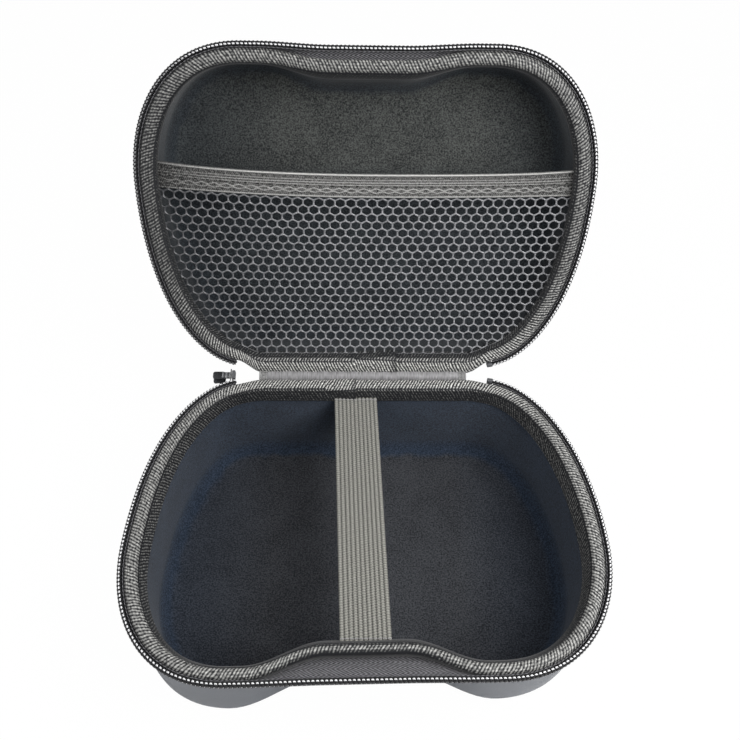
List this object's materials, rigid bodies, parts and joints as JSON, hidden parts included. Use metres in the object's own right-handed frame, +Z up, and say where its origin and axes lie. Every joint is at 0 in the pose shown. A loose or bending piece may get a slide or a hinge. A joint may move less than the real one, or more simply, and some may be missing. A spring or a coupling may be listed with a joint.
{
  "type": "controller carrying case",
  "caption": "Moulded two-half carrying case for a game controller, shown open: zip round the rim, fabric hinge, net pocket in the lid and an elastic holding strap in the base.",
  "frame": {"origin": "centre of the flat underside of the base", "axes": "+Z up, +X to the right seen from the front, -Y towards the front bay, +Y towards the hinge"},
  "size_m": [0.1848, 0.213, 0.1721],
  "materials": {
    "moulded_skin": "smooth coated fabric over moulded EVA foam, matt slate grey",
    "fleece_lining": "short brushed fleece, dark grey",
    "binding_tape": "woven twill polyester tape, warm grey",
    "zip_tape": "herringbone woven polyester tape, grey",
    "coil_nylon": "glossy nylon monofilament, dark grey",
    "stop_nylon": "fused nylon, dark grey",
    "satin_tape": "satin ribbon, mid grey with a soft sheen",
    "net_thread": "warp-knitted polyester net, light grey thread",
    "elastic_tape": "ribbed elastic braid, grey",
    "strap_elastic": "ribbed elastic webbing, warm grey",
    "slider_metal": "die-cast zinc, dark grey lacquer"
  },
  "bodies": {
    "base": {"base_shell": "moulded_skin", "base_lining": "fleece_lining", "base_binding": "binding_tape", "base_zip_tape": "zip_tape", "base_zip_teeth": "coil_nylon", "base_top_stop": "stop_nylon", "holding_strap": "strap_elastic", "hinge_tape": "satin_tape", "zip_closed_end": "coil_nylon", "zip_bottom_stop": "stop_nylon", "zip_slider": "slider_metal", "slider_bail": "slider_metal"},
    "lid": {"lid_shell": "moulded_skin", "lid_lining": "fleece_lining", "lid_binding": "binding_tape", "lid_zip_tape": "zip_tape", "lid_zip_teeth": "coil_nylon", "lid_top_stop": "stop_nylon", "pocket_elastic": "elastic_tape", "pocket_net": "net_thread"},
    "pull": {"zip_pull": "slider_metal"}
  },
  "joints": [
    {"name": "lid_hinge", "type": "hinge", "parent": "base", "child": "lid", "pos_m": [0, 0.06915, 0.05], "axis": [1, 0, 0], "range_deg": [0, 115], "deforming": ["hinge_tape"]},
    {"name": "pull_swing", "type": "hinge", "parent": "base", "child": "pull", "pos_m": [-0.0645, 0.0705, 0.04364], "axis": [0, -0.9781, -0.2079], "range_deg": [-85, 85]}
  ]
}
